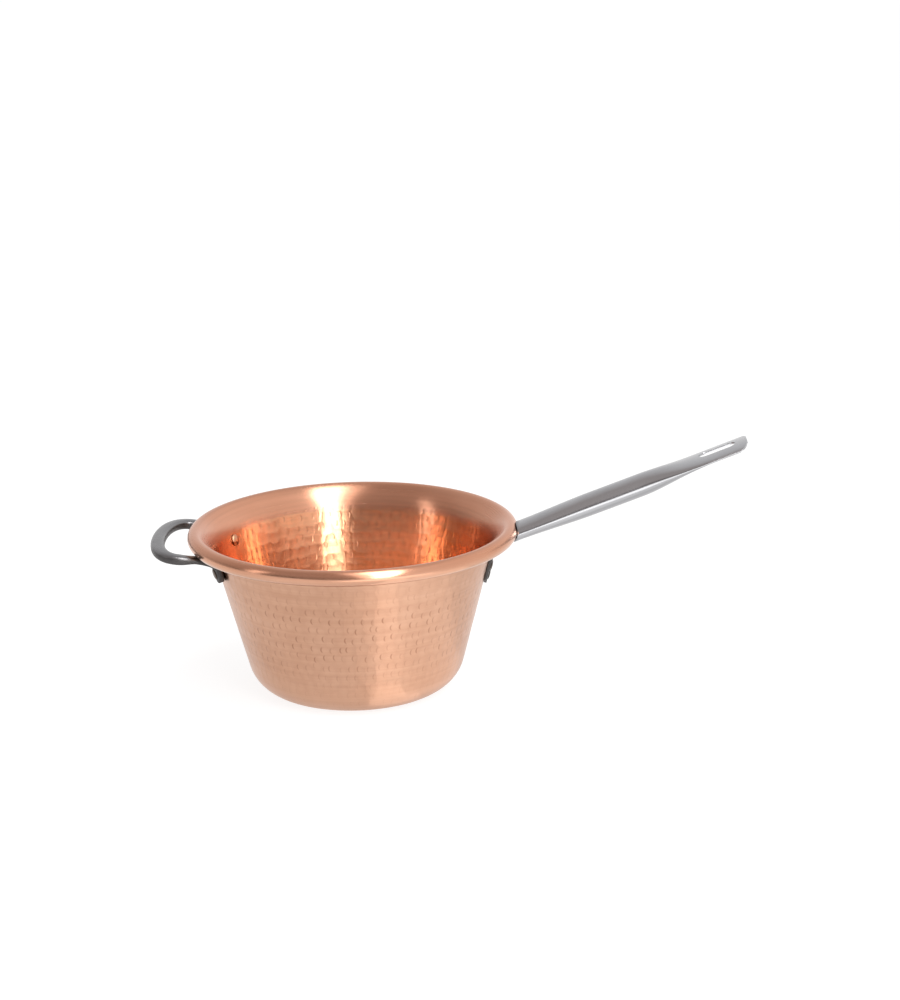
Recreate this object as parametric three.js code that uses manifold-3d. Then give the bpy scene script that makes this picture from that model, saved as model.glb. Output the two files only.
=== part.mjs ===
// Polenta pot: a raised copper pot with a wired rim, a rolled steel long handle and a forged loop handle.
// Millimetres, +Z up. The origin is the centre of the base on the table, and the long handle points to +X.
import * as THREE from 'three';
import { mergeVertices } from 'three/addons/utils/BufferGeometryUtils.js';
import Module from 'manifold-3d';

const wasm = await Module();
wasm.setup();

const { clamp, degToRad, lerp, smoothstep } = THREE.MathUtils;

// Fits
const clearance = 0.3; // gap left between pieces that touch on the real pot
const rimClearance = 1.0; // gap between the mouth of the handle tube and the rim
const tongueClearance = 0.6; // gap between the tongue of the long handle and the bead above it
const loopClearance = 0.8; // gap between the bar of the loop handle and the bead above it
const curlClearance = 1.1; // gap between the rolled edge of the sheet and the lip above it
const weldLap = 0.3; // depth by which the tongue sinks into the tube that it is welded to

// Pot
const potHeight = 133.5; // table to the top of the rim
const rimRadius = 130; // axis to the outside of the rolled bead
const wallLean = degToRad(14.9); // wall from the vertical
const lipRadius = 30; // inside of the flare between wall and rim
const lipLean = degToRad(55); // flare from the vertical, where it runs onto the bead
const cornerRadius = 30; // outside of the round between base and wall
const potThickness = 1.5; // copper sheet
const beadRadius = 6; // outside of the rolled bead

// Tube of the long handle
const tubeThickness = 1.5; // steel sheet
const tubeRise = degToRad(20.2); // axis of the tube at the rim, above the horizontal
const tubeTipRise = degToRad(21); // axis of the tube at the slotted end
const tubeRun = 180.3; // rim to the end of the handle, measured level
const rootHalfWidth = 13;
const rootHalfDepth = 6.9;
const bellyHalfWidth = 12.2;
const bellyHalfDepth = 8.8;
const bellyStart = 62; // from the rim along the tube
const bellyEnd = 102;
const tipHalfWidth = 17.2;
const tipHalfDepth = 3.2;
const tipStart = 163; // from the rim along the tube, where the slotted end is fully flat
const seamGap = 0.8; // between the two edges of the rolled sheet under the tube
const tipWrap = degToRad(97); // how far the sheet wraps each way round from the top at the slotted end
const tipRound = 10; // length of the rounded end
const tipRoundPower = 2.3; // 2 gives an oval end, more a squarer one
const leastTipEnd = 0.4; // width left at the very end, of the full width
const slotLength = 30;
const slotWidth = 10.6;
const slotEdge = 9.6; // from the slot to the end of the handle

// Palm of the long handle, and the tongue that joins it to the tube
const palmThickness = 3;
const palmHalfWidth = 15;
const palmDrop = 48; // lower end of the palm, below the top of the rim
const palmRound = 12; // length of the rounded lower end
const leastPalmEnd = 0.35; // width left at the very end, of the full width
const palmBend = 8; // length of the bend between palm and tongue, each way from its corner
const tongueHalfWidth = 5; // where the tongue enters the tube
const tongueThickness = 2; // the palm is forged thinner where it passes under the bead
const tongueLap = 14; // length welded inside the tube
const upperRivetRise = 15.5; // above the lower end of the palm
const upperRivetSpread = 8.1; // each side of the middle of the palm
const lowerRivetRise = 6;

// Loop handle
const loopStandoff = 28.8; // rim to the outside of the loop
const loopRise = degToRad(7.8); // loop from the bead outwards, above the horizontal
const loopBarHalfWidth = 5.5;
const loopBarHalfDepth = 3.8;
const loopHalfSpan = 48.2; // middle of the handle to the centre of each leg
const legRun = 3.8; // rim to where the legs turn into the bow
const bowFullness = 0.616; // 0 gives a pointed bow, 1 a square one
const barPower = 2.8; // 2 gives an oval bar, more a squarer one
const kneeRise = 4.5; // height from the top of a foot to the centre of the bar under the bead
const kneeBend = 11; // length of the bend above a foot, from its corner along the leg
const footInset = 5.6; // each foot stands this much nearer the middle than the centre of its leg
const footHeight = 11.8; // straight part of a foot on the wall
const footHalfWidth = 7.4;
const footHalfDepth = 2.6; // the bar keeps this depth as far as the bead
const barSwell = 16; // length over which the bar then grows to its full depth
const footPower = 4;
const footRound = 6; // length of the rounded lower end
const leastFootEnd = 0.5; // width left at the very end, of the full width
const loopRivetRise = 6.8; // above the lower end of a foot

// Rivets
const shankRadius = 2.5;
const headRadius = 5.4; // domed head inside the pot
const headHeight = 2.8;
const peenRadius = 4.4; // hammered head outside
const peenHeight = 1.4;
const drillPast = 4; // the drill goes past both faces by this much

// Facets
const turnSegments = 56;
const rivetSegments = 12;
const arcSteps = { corner: 6, flare: 5, bead: 12, curl: 9, wire: 8, dome: 3 };
const tubeRings = 26;
const tubeSegments = 18;
const slotSegments = 8;
const stripRings = 20;
const stripSegments = 8;
const stripSpacing = 1.3; // more than 1 draws the rings of the strip towards the end of the palm
const loopRings = 46;
const loopSides = 14;
const weldDistance = 1e-4;
const axisDistance = 1e-9; // a profile point this near the axis is on it
const unitSpan = 2; // a sheet or bar reaches from -1 to 1 before it is formed

const copper = new THREE.MeshStandardMaterial({ color: 0xc98a68, roughness: 0.32, metalness: 1 });
const rivetCopper = new THREE.MeshStandardMaterial({ color: 0xb8744f, roughness: 0.35, metalness: 1 });
const steel = new THREE.MeshStandardMaterial({ color: 0xb4b4b6, roughness: 0.22, metalness: 1 });
const wireSteel = new THREE.MeshStandardMaterial({ color: 0x8c8c8e, roughness: 0.5, metalness: 1 });

const half = Math.PI;
const quarter = half / 2;
const across = new THREE.Vector3(0, 1, 0);
const upwards = new THREE.Vector3(0, 0, 1);

// Drops the attributes that split a corner, welds the corners and leaves out triangles without area.
function weld(geometry) {
  geometry.deleteAttribute('normal');
  geometry.deleteAttribute('uv');
  const welded = mergeVertices(geometry, weldDistance);
  const corners = welded.index.array;
  const kept = [];
  for (let i = 0; i < corners.length; i += 3) {
    const [a, b, c] = corners.slice(i, i + 3);
    if (a !== b && b !== c && c !== a) kept.push(a, b, c);
  }
  welded.setIndex(kept);
  return welded;
}

function solid(geometry) {
  const welded = weld(geometry);
  return new wasm.Manifold(
    new wasm.Mesh({
      numProp: 3,
      vertProperties: new Float32Array(welded.attributes.position.array),
      triVerts: new Uint32Array(welded.index.array),
    }),
  );
}

function skin(body) {
  const { vertProperties, triVerts } = body.getMesh();
  const geometry = new THREE.BufferGeometry();
  geometry.setAttribute('position', new THREE.BufferAttribute(vertProperties, 3));
  geometry.setIndex(new THREE.BufferAttribute(triVerts, 1));
  return geometry;
}

function piece(name, geometry, material) {
  geometry.computeVertexNormals();
  const mesh = new THREE.Mesh(geometry, material);
  mesh.name = name;
  return mesh;
}

// Points of an arc in the plane of a profile, from one angle to the other.
function arc(centre, radius, from, to, steps) {
  return Array.from({ length: steps + 1 }, (_, i) => {
    const angle = lerp(from, to, i / steps);
    return new THREE.Vector2(centre.x + radius * Math.cos(angle), centre.y + radius * Math.sin(angle));
  });
}

// A profile of radius and height turned about Z.
function turned(profile, segments) {
  return new THREE.LatheGeometry(profile, segments).rotateX(quarter);
}

// Moves every corner of a geometry that stands for a straight bar to its place along a path.
function formed(geometry, place) {
  const corners = geometry.attributes.position;
  const corner = new THREE.Vector3();
  for (let i = 0; i < corners.count; i += 1) {
    corner.fromBufferAttribute(corners, i);
    const { x, y, z } = place(corner);
    corners.setXYZ(i, x, y, z);
  }
  return geometry;
}

// Shares from 0 to 1 that lie closer together at both ends.
const eased = (share) => (1 - Math.cos(share * half)) / 2;

// Pot: the lip leaves the wall smoothly and runs smoothly onto the bead.
const slope = Math.tan(wallLean);
const beadCentre = new THREE.Vector2(rimRadius - beadRadius, potHeight - beadRadius);
const lipOffset = lipRadius - beadRadius;
const lipCentre = new THREE.Vector2(
  beadCentre.x + lipOffset * Math.cos(lipLean),
  beadCentre.y - lipOffset * Math.sin(lipLean),
);
const wallReach = (lipRadius - potThickness) / Math.cos(wallLean); // lip's centre to the wall, level
const footRadius = lipCentre.x - wallReach - lipCentre.y * slope;
const cornerCentre = new THREE.Vector2(
  footRadius + cornerRadius * (slope - 1 / Math.cos(wallLean)),
  cornerRadius,
);

const wallRadius = (height) => footRadius + height * slope;

// Point on the outside of the wall, moved out along the wall's normal.
function onWall(azimuth, height, out) {
  const radius = wallRadius(height) + out * Math.cos(wallLean);
  return new THREE.Vector3(
    radius * Math.cos(azimuth),
    radius * Math.sin(azimuth),
    height - out * Math.sin(wallLean),
  );
}

function wallNormal(azimuth) {
  return new THREE.Vector3(
    Math.cos(wallLean) * Math.cos(azimuth),
    Math.cos(wallLean) * Math.sin(azimuth),
    -Math.sin(wallLean),
  );
}

// The sheet is rolled round the wire until its edge comes near the lip again.
function curlEnd() {
  const edgeRadius = lipRadius - potThickness - curlClearance;
  const cosine = (edgeRadius ** 2 - beadRadius ** 2 - lipOffset ** 2) / (2 * beadRadius * lipOffset);
  return Math.acos(clamp(cosine, -1, 1)) - half - lipLean;
}

function potProfile() {
  return [
    new THREE.Vector2(0, 0),
    ...arc(cornerCentre, cornerRadius, -quarter, -wallLean, arcSteps.corner),
    ...arc(lipCentre, lipRadius - potThickness, half - wallLean, half - lipLean, arcSteps.flare),
    ...arc(beadCentre, beadRadius - potThickness, half - lipLean, curlEnd(), arcSteps.curl).slice(1),
    ...arc(beadCentre, beadRadius, curlEnd(), half - lipLean, arcSteps.bead),
    ...arc(lipCentre, lipRadius, half - lipLean, half - wallLean, arcSteps.flare).slice(1),
    ...arc(cornerCentre, cornerRadius - potThickness, -wallLean, -quarter, arcSteps.corner),
    new THREE.Vector2(0, potThickness),
  ];
}

// Heights that the handles and their rivets share
const barBelowBead = potHeight - 2 * beadRadius - loopClearance - footHalfDepth;
const footTop = barBelowBead - kneeRise;
const footBottom = footTop - footHeight;
const footAzimuth = Math.asin((loopHalfSpan - footInset) / wallRadius(footTop));
const palmBottom = potHeight - palmDrop;
const upperRivetHeight = palmBottom + upperRivetRise;
const upperRivetAzimuth = Math.asin(upperRivetSpread / wallRadius(upperRivetHeight));
const lowerRivetHeight = palmBottom + lowerRivetRise;
const loopRivetHeight = footBottom + loopRivetRise;
const footThickness = 2 * footHalfDepth;

// Rivets: where each one stands and the thickness that it holds to the wall.
const rivets = [
  { name: 'handle_rivet_left', azimuth: upperRivetAzimuth, height: upperRivetHeight, grip: palmThickness },
  { name: 'handle_rivet_right', azimuth: -upperRivetAzimuth, height: upperRivetHeight, grip: palmThickness },
  { name: 'handle_rivet_lower', azimuth: 0, height: lowerRivetHeight, grip: palmThickness },
  { name: 'loop_rivet_left', azimuth: half + footAzimuth, height: loopRivetHeight, grip: footThickness },
  { name: 'loop_rivet_right', azimuth: half - footAzimuth, height: loopRivetHeight, grip: footThickness },
];

// The axis of a rivet starts on the outside of the wall and points away from the pot.
function rivetStand({ azimuth, height }) {
  const turn = new THREE.Quaternion().setFromUnitVectors(across, wallNormal(azimuth));
  return new THREE.Matrix4().compose(onWall(azimuth, height, 0), turn, new THREE.Vector3(1, 1, 1));
}

const holes = rivets.map((rivet) => {
  const radius = shankRadius + clearance;
  const length = 2 * (potThickness + rivet.grip + drillPast);
  const hole = new THREE.CylinderGeometry(radius, radius, length, rivetSegments);
  return solid(hole.applyMatrix4(rivetStand(rivet)));
});

const drilled = (body) => holes.reduce((rest, hole) => rest.subtract(hole), body);

function rivetProfile(grip) {
  const hollow = headRadius ** 2 / (2 * wallRadius(0)); // the wall is hollow under the head
  const inside = -potThickness - clearance - hollow;
  const outside = 2 * clearance + grip;
  const dome = (radius, rise, base, from, to) =>
    arc(new THREE.Vector2(0, 0), 1, from, to, arcSteps.dome).map(
      ({ x, y }) => new THREE.Vector2(x < axisDistance ? 0 : radius * x, base + rise * y),
    );
  return [
    ...dome(headRadius, headHeight, inside, -quarter, 0),
    new THREE.Vector2(shankRadius, inside),
    new THREE.Vector2(shankRadius, outside),
    ...dome(peenRadius, peenHeight, outside, 0, quarter),
  ];
}

// Long handle: the tongue lies on the floor of the tube and clears the bead, which sets the tube's height.
const floorDepth = rootHalfDepth - tubeThickness;
const floorHalfWidth = rootHalfWidth - tubeThickness;
const floorRise = floorDepth * (1 - Math.sqrt(1 - (tongueHalfWidth / floorHalfWidth) ** 2));
const tongueDepth = floorDepth + weldLap;
const axisBelowBead = beadRadius + tongueClearance - (tongueDepth - tongueThickness - floorRise);
const tubeRoot = new THREE.Vector3(
  rimRadius,
  0,
  beadCentre.y + beadRadius * Math.tan(tubeRise) - axisBelowBead / Math.cos(tubeRise),
);

// The axis of the tube, from the outside of the rim to the slotted end
const tubeMeanSlope = Math.tan((tubeRise + tubeTipRise) / 2);
const tubeAxis = new THREE.QuadraticBezierCurve3(
  tubeRoot,
  new THREE.Vector3(rimRadius + tubeRun / 2, 0, tubeRoot.z + (tubeRun / 2) * Math.tan(tubeRise)),
  new THREE.Vector3(rimRadius + tubeRun, 0, tubeRoot.z + tubeRun * tubeMeanSlope),
);
const tubeLength = tubeAxis.getLength();

function tubeFrame(along) {
  const share = clamp(along / tubeLength, 0, 1);
  const forward = tubeAxis.getTangentAt(share);
  const point = tubeAxis.getPointAt(share).addScaledVector(forward, Math.min(along, 0));
  return { point, forward, up: new THREE.Vector3().crossVectors(forward, across) };
}

// Half width, half depth and wrap of the tube's sheet at a distance from the rim along the axis.
function tubeSection(along) {
  const swell = smoothstep(along, 0, bellyStart);
  const flat = smoothstep(along, bellyEnd, tipStart);
  const outerHalfWidth = lerp(lerp(rootHalfWidth, bellyHalfWidth, swell), tipHalfWidth, flat);
  const outerHalfDepth = lerp(lerp(rootHalfDepth, bellyHalfDepth, swell), tipHalfDepth, flat);
  const halfWidth = outerHalfWidth - tubeThickness / 2;
  const halfDepth = outerHalfDepth - tubeThickness / 2;
  const closed = half - Math.asin(seamGap / 2 / halfWidth);
  const rounding = Math.max(1 - (tubeLength - along) / tipRound, 0);
  const kept = Math.max((1 - rounding ** tipRoundPower) ** (1 / tipRoundPower), leastTipEnd);
  return { halfWidth, halfDepth, wrap: (lerp(closed, tipWrap, flat) * Math.asin(kept)) / quarter };
}

// Point of a sheet bent round an oval: turn is measured from the top, lift from the middle of the sheet.
function ovalPoint({ halfWidth, halfDepth }, turn, lift) {
  const normal = new THREE.Vector2(Math.sin(turn) / halfWidth, Math.cos(turn) / halfDepth).normalize();
  return new THREE.Vector2(
    halfWidth * Math.sin(turn) + lift * normal.x,
    halfDepth * Math.cos(turn) + lift * normal.y,
  );
}

// The sheet starts under the rim, and the mouth is cut afterwards.
function tubeShell() {
  const flatSheet = new THREE.BoxGeometry(unitSpan, unitSpan, unitSpan, tubeSegments, 1, tubeRings);
  return formed(flatSheet, ({ x, y, z }) => {
    const along = lerp(-beadRadius, tubeLength, eased((z + 1) / 2));
    const section = tubeSection(along);
    const { point, up } = tubeFrame(along);
    const place = ovalPoint(section, x * section.wrap, (y * tubeThickness) / 2);
    return point.addScaledVector(across, place.x).addScaledVector(up, place.y);
  });
}

// Upright round cutter that gives the mouth of the tube the curve of the rim.
function mouthCutter() {
  const radius = rimRadius + rimClearance;
  const cutter = new THREE.CylinderGeometry(radius, radius, 2 * potHeight, turnSegments);
  return solid(cutter.rotateX(quarter).translate(0, 0, potHeight));
}

// Long rounded hole through the crown of the flat end
function slotCutter() {
  const straight = (slotLength - slotWidth) / 2;
  const outline = new THREE.Shape();
  outline.absarc(straight, 0, slotWidth / 2, -quarter, quarter);
  outline.absarc(-straight, 0, slotWidth / 2, quarter, 3 * quarter);
  const cutter = new THREE.ExtrudeGeometry(outline, {
    depth: tipHalfDepth + drillPast,
    bevelEnabled: false,
    curveSegments: slotSegments,
  });
  const { point, forward, up } = tubeFrame(tubeLength - slotEdge - slotLength / 2);
  return solid(cutter.applyMatrix4(new THREE.Matrix4().makeBasis(forward, across, up).setPosition(point)));
}

// Outer face of the strip that makes palm and tongue, from the lower end of the palm to the end of the weld.
const upWall = new THREE.Vector3(Math.sin(wallLean), 0, Math.cos(wallLean));

function stripPath() {
  const { point, forward, up } = tubeFrame(0);
  const start = point.addScaledVector(up, -tongueDepth);
  const lower = onWall(0, palmBottom, clearance + palmThickness);
  const apart = start.clone().sub(lower);
  const turn = upWall.x * forward.z - upWall.z * forward.x;
  const run = (apart.x * forward.z - apart.z * forward.x) / turn;
  const corner = lower.clone().addScaledVector(upWall, run);
  const bendStart = corner.clone().addScaledVector(upWall, -palmBend);
  const bendEnd = corner.clone().addScaledVector(forward, palmBend);
  const path = new THREE.CurvePath();
  path.add(new THREE.LineCurve3(lower, bendStart));
  path.add(new THREE.QuadraticBezierCurve3(bendStart, corner, bendEnd));
  path.add(new THREE.LineCurve3(bendEnd, start.clone().addScaledVector(forward, tongueLap)));
  return { path, bendFrom: run - palmBend, bendTo: run + palmBend };
}

// The palm is hollowed to the wall, and the tongue to the floor of the tube.
function strip() {
  const { path, bendFrom, bendTo } = stripPath();
  const length = path.getLength();
  const flatSheet = new THREE.BoxGeometry(unitSpan, unitSpan, unitSpan, stripSegments, 1, stripRings);
  return formed(flatSheet, ({ x, y, z }) => {
    const share = ((z + 1) / 2) ** stripSpacing;
    const along = share * length;
    const point = path.getPoint(share);
    const inward = new THREE.Vector3().crossVectors(path.getTangent(share), across);
    const opened = smoothstep(along, bendFrom, bendTo);
    const rounding = Math.max(1 - along / palmRound, 0);
    const kept = Math.max(Math.sqrt(1 - rounding ** 2), leastPalmEnd);
    const sideways = x * lerp(palmHalfWidth * kept, tongueHalfWidth, opened);
    const radius = wallRadius(point.z);
    const palmHollow = radius - Math.sqrt(radius ** 2 - sideways ** 2);
    const hollow = lerp(palmHollow, floorRise * x ** 2, opened);
    const depth = hollow + ((y + 1) / 2) * lerp(palmThickness, tongueThickness, opened);
    return point.addScaledVector(across, sideways).addScaledVector(inward, depth);
  });
}

function longHandle() {
  const tube = solid(tubeShell()).subtract(mouthCutter()).subtract(slotCutter());
  return drilled(tube.add(solid(strip())));
}

// Loop handle: the bar is level from the wall to the bead, and rises outwards from there.
const barPassesBead = Math.sqrt(beadCentre.x ** 2 - loopHalfSpan ** 2);
const loopSlope = Math.tan(loopRise);

function onLoop(out, aside) {
  return new THREE.Vector3(-out, aside, barBelowBead + Math.max(out - barPassesBead, 0) * loopSlope);
}

// Half of the centre line of the loop, from the lower end of a foot to the front of the bow.
function loopHalf() {
  const out = clearance + footHalfDepth;
  const lower = onWall(half - footAzimuth, footBottom, out);
  const upper = onWall(half - footAzimuth, footTop, out);
  const rise = upper.clone().sub(lower).normalize();
  const knee = upper.clone().addScaledVector(rise, (barBelowBead - upper.z) / rise.z);
  const legStart = onLoop(kneeBend - knee.x, knee.y);
  const legEnd = onLoop(rimRadius + legRun, loopHalfSpan);
  const legMiddle = -(legStart.x + legEnd.x) / 2;
  const legControls = [legStart, legEnd].map((end) => onLoop(legMiddle, end.y));
  const front = onLoop(rimRadius + loopStandoff - loopBarHalfWidth, 0);
  const corner = onLoop(-front.x, loopHalfSpan);
  const bowControls = [legEnd, front].map((end) => end.clone().lerp(corner, bowFullness));
  const foot = new THREE.LineCurve3(lower, upper);
  const bend = new THREE.QuadraticBezierCurve3(upper, knee, legStart);
  const path = new THREE.CurvePath();
  path.add(foot);
  path.add(bend);
  path.add(new THREE.CubicBezierCurve3(legStart, ...legControls, legEnd));
  path.add(new THREE.CubicBezierCurve3(legEnd, ...bowControls, front));
  const footLength = foot.getLength() + bend.getLength() / 2;
  return { path, footLength, legLength: barPassesBead + knee.x };
}

const powered = (value, power) => Math.sign(value) * Math.abs(value) ** (2 / power);

function loopBar() {
  const { path, footLength, legLength } = loopHalf();
  const length = path.getLength();
  const straightBar = new THREE.CylinderGeometry(1, 1, unitSpan, loopSides, loopRings);
  return formed(straightBar, ({ x, y, z }) => {
    const side = y < 0 ? -1 : 1; // the second half mirrors the first
    const share = eased((1 - Math.abs(y)) / 2) * 2;
    const along = share * length;
    const point = path.getPoint(share);
    const forward = path.getTangent(share).multiplyScalar(side);
    point.y *= side;
    forward.y *= side;
    const wide = new THREE.Vector3().crossVectors(upwards, forward).normalize();
    const thick = new THREE.Vector3().crossVectors(forward, wide);
    const passed = footLength + legLength; // where the bar has passed under the bead
    const risen = smoothstep(along, footLength, passed);
    const rounding = Math.max(1 - along / footRound, 0);
    const kept = Math.max(Math.sqrt(1 - rounding ** 2), leastFootEnd);
    const power = lerp(footPower, barPower, risen);
    const halfWidth = lerp(footHalfWidth * kept, loopBarHalfWidth, risen);
    const swollen = smoothstep(along, passed, passed + barSwell);
    const halfDepth = lerp(footHalfDepth, loopBarHalfDepth, swollen);
    return point
      .addScaledVector(wide, powered(x, power) * halfWidth)
      .addScaledVector(thick, powered(z, power) * halfDepth);
  });
}

// Wire inside the rolled bead
function rimWire() {
  const radius = beadRadius - potThickness - clearance;
  return turned(arc(beadCentre, radius, 0, 2 * half, arcSteps.wire), turnSegments);
}

const group = new THREE.Group();
group.add(piece('pot_body', skin(drilled(solid(turned(potProfile(), turnSegments)))), copper));
group.add(piece('rim_wire', weld(rimWire()), wireSteel));
group.add(piece('long_handle', skin(longHandle()), steel));
group.add(piece('loop_handle', skin(drilled(solid(loopBar()))), steel));
for (const rivet of rivets) {
  const lathe = new THREE.LatheGeometry(rivetProfile(rivet.grip), rivetSegments);
  group.add(piece(rivet.name, weld(lathe.applyMatrix4(rivetStand(rivet))), rivetCopper));
}

export default group;
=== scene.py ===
"""Looks of the polenta pot: hammered copper, polished steel handles and a white studio.

Sizes of the pot are in millimetres and become metres where a mesh is made.
Sizes in the materials and in the studio are in metres.
"""

import math

import bpy
import numpy as np
from mathutils import Matrix, Vector


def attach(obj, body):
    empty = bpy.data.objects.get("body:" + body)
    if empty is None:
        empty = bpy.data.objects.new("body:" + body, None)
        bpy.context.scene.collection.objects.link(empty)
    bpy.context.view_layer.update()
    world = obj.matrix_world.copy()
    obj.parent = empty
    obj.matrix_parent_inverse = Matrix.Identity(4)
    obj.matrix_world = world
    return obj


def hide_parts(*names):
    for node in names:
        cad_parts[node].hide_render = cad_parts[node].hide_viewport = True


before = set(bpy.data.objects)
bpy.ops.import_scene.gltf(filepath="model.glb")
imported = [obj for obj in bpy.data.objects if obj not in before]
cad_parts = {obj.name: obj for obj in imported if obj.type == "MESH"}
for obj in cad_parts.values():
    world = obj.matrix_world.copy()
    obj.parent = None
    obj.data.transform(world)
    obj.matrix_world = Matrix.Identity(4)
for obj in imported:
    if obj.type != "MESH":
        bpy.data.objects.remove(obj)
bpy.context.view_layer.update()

MM = 0.001
SEED = 7
QUARTER = math.pi / 2
FULL_TURN = 2 * math.pi
ACROSS = np.array([0.0, 1.0, 0.0])
UPWARDS = np.array([0.0, 0.0, 1.0])
MIRROR = np.array([1.0, -1.0, 1.0])

# Pot
POT_HEIGHT = 133.5
RIM_RADIUS = 130.0
WALL_LEAN = math.radians(14.9)
LIP_RADIUS = 30.0
LIP_LEAN = math.radians(55.0)
CORNER_RADIUS = 30.0
POT_SHEET = 1.5
BEAD_RADIUS = 6.0
CURL_CLEARANCE = 1.1
CLEARANCE = 0.3

# Rings of the pot's skin, from the middle of the base outside to the middle of the base inside
POT_SEGMENTS = 480
BASE_RINGS = 8
CORNER_RINGS = 13
WALL_RINGS = 57
FLARE_RINGS = 7
CURL_RINGS = 7
BEAD_RINGS = 20
LIP_RINGS = 10
INNER_WALL_RINGS = 54
INNER_CORNER_RINGS = 10

# How polished the pot is, and the share of the bead's rings over which its outside turns to inside
OUTSIDE_POLISH = 0.0
RIM_POLISH = 1.0
INSIDE_POLISH = 0.8
BEAD_TURN = (0.4, 0.7)

# Hammer marks: rows of shallow flats, every second row moved by half a mark
ROW_PITCH = 8.7
MARK_PITCH = 8.6
MARK_JITTER = 0.7
ROW_SHIFT = 0.5
ROW_JITTER = 0.15
FLATTENING = 0.0022
MARK_LIFT = 0.012
HAMMERED_FROM = 16.0
HAMMERED_TO = 116.0
FADE = 14.0
NEAR_WALL = 3 * POT_SHEET

# Tube of the long handle, with half width and half depth where it starts, swells and is flat
TUBE_SHEET = 1.5
TUBE_RISE = math.radians(20.2)
TUBE_TIP_RISE = math.radians(21.0)
TUBE_RUN = 180.3
TUBE_ROOT_HEIGHT = 126.045
ROOT_HALF = (13.0, 6.9)
BELLY_HALF = (12.2, 8.8)
TIP_HALF = (18.6, 3.3)
TIP_LIFT = 1.6
BELLY_START = 62.0
BELLY_END = 102.0
TIP_START = 163.0
SEAM_GAP = 0.8
TIP_WRAP = math.radians(97.0)
TIP_ROUND = 8.0
TIP_ROUND_POWER = 2.3
LEAST_TIP_END = 0.4
SLOT_LENGTH = 30.0
SLOT_WIDTH = 10.6
SLOT_EDGE = 9.6
SLOT_MARGIN = 1.6
SLOT_LOOPS = 5
MOUTH_GAP = 0.6
LEAST_MOUTH_REACH = 3.0
MOUTH_EASE = 30.0
MOUTH_TRIES = 12
TUBE_CURVE_STEPS = 200
TUBE_COLUMNS = 64
TUBE_RINGS = 150
TIP_END_RINGS = 17

# Palm and tongue of the long handle
PALM_SHEET = 2.2
PALM_HALF_WIDTH = 15.0
PALM_BOTTOM = 85.5
PALM_ROUND = 12.0
LEAST_PALM_END = 0.35
PALM_BEND = 8.0
TONGUE_HALF_WIDTH = 5.0
TONGUE_SHEET = 2.0
TONGUE_LAP = 14.0
TONGUE_DEPTH = 5.7
TONGUE_HOLLOW = 0.537
STRIP_CURVE_STEPS = 40
STRIP_RINGS = 70
STRIP_COLUMNS = 18
PALM_END_RINGS = 14

# Loop handle, with half width and half depth of the bar and of the feet
LOOP_STANDOFF = 28.8
LOOP_RISE = math.radians(7.8)
BAR_HALF = (5.5, 3.8)
LOOP_HALF_SPAN = 48.2
LEG_RUN = 3.8
BOW_FULLNESS = 0.616
BAR_POWER = 2.8
BAR_HEIGHT = 118.1
BAR_SWELL = 16.0
KNEE_BEND = 11.0
FOOT_HALF_SPAN = 42.6
FOOT_TOP = 113.6
FOOT_BOTTOM = 101.8
FOOT_HALF = (7.4, 2.6)
FOOT_POWER = 4.0
FOOT_ROUND = 6.0
LEAST_FOOT_END = 0.5
LOOP_CURVE_STEPS = 60
LOOP_RINGS = 110
LOOP_SIDES = 40
FOOT_END_RINGS = 12

# Rivets, with radius and height of the head inside the pot and of the hammered end outside
SHANK_RADIUS = 2.5
HEAD = (4.6, 2.3)
PEEN = (4.4, 1.0)
HANDLE_RIVET_HEIGHT = 101.0
HANDLE_RIVET_SPREAD = 8.1
LOWER_RIVET_HEIGHT = 91.5
LOOP_RIVET_HEIGHT = 108.6
RIVET_SEGMENTS = 40
DOME_STEPS = 10
RIVET_DENTS = 0.05
DENTS_ROUND = (2, 3, 5, 7)

# Rounded edges
EDGE_BEVEL = 0.28
EDGE_STEPS = 2
BEVEL_ANGLE = math.radians(38.0)
SHARP_ANGLE = math.radians(42.0)
RIVET_SHARP_ANGLE = math.radians(50.0)


# Shared shapes

def smoothstep(value, start, end):
    share = np.clip((np.asarray(value, float) - start) / (end - start), 0.0, 1.0)
    return share * share * (3.0 - 2.0 * share)


def mix(first, second, share):
    return first + (second - first) * share


def unit(vectors):
    return vectors / np.linalg.norm(vectors, axis=-1, keepdims=True)


def arc(centre, radius, start, end, count):
    angles = np.linspace(start, end, count)
    return np.stack([centre[0] + radius * np.cos(angles), centre[1] + radius * np.sin(angles)], axis=1)


def bezier(points, count):
    """A number of points along a Bezier curve of any degree, from its first point to its last."""
    layers = [np.asarray(point, float)[None, :] for point in points]
    shares = np.linspace(0.0, 1.0, count)[:, None]
    while len(layers) > 1:
        layers = [mix(first, second, shares) for first, second in zip(layers, layers[1:])]
    return layers[0]


class Path:
    """A line through many points, read by the distance along it."""

    def __init__(self, points):
        self.points = np.asarray(points, float)
        steps = np.linalg.norm(np.diff(self.points, axis=0), axis=1)
        self.places = np.concatenate([[0.0], np.cumsum(steps)])
        self.length = self.places[-1]

    def at(self, along):
        inside = np.clip(along, 0.0, self.length)
        return np.stack([np.interp(inside, self.places, column) for column in self.points.T], axis=1)

    def forward(self, along, reach=0.5):
        middle = np.clip(along, reach, self.length - reach)
        return unit(self.at(middle + reach) - self.at(middle - reach))


def rounded_end(from_end, radius, least, power=2.0):
    """Share of the full width that is left at distances from a rounded end."""
    into = np.clip(1 - from_end / radius, 0.0, 1.0)
    return np.maximum((1 - into ** power) ** (1 / power), least)


def end_rings(radius, length, end_count, count):
    """Places along a piece whose first end is rounded: close together there, then even."""
    near_end = radius * (1 - np.cos(np.linspace(0.0, QUARTER, end_count)))
    return np.concatenate([near_end, np.linspace(radius, length, count)[1:]])


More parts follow.
